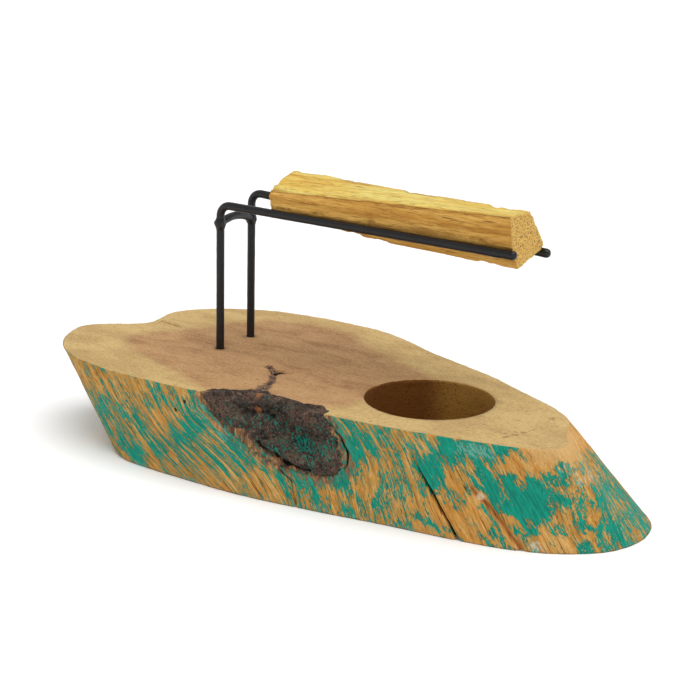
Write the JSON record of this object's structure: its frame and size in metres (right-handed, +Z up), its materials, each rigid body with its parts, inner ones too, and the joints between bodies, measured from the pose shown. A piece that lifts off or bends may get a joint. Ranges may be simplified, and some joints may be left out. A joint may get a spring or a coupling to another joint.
{
  "type": "incense burner",
  "caption": "Obliquely sawn branch slab with a tealight pocket and a plug-in wire stand whose two arms carry a split stick of scented wood.",
  "frame": {"origin": "on the underside, below the middle of the slab", "axes": "+X along the arms, from the legs towards the pocket; +Z up, the way the tealight lifts out; the front, with the knot, faces -Y"},
  "size_m": [0.2183, 0.1054, 0.0959],
  "materials": {
    "painted_branch_wood": "sawn faces bare, weathered sides with worn turquoise paint",
    "bark": "rough",
    "black_rod": "satin",
    "stick_wood": "split, fibrous"
  },
  "bodies": {
    "base": {"wooden_base": "painted_branch_wood", "knot_bark": "bark"},
    "stand": {"front_rod": "black_rod", "rear_rod": "black_rod", "cross_brace": "black_rod", "front_weld": "black_rod", "rear_weld": "black_rod"},
    "stick": {"palo_santo_stick": "stick_wood"}
  },
  "joints": [
    {"name": "stand_lift", "type": "slide", "parent": "base", "child": "stand", "axis": [0, 0, 1], "range_m": [0, 0.03]},
    {"name": "stick_lift", "type": "slide", "parent": "stand", "child": "stick", "axis": [0, 0, 1], "range_m": [0, 0.04]}
  ]
}
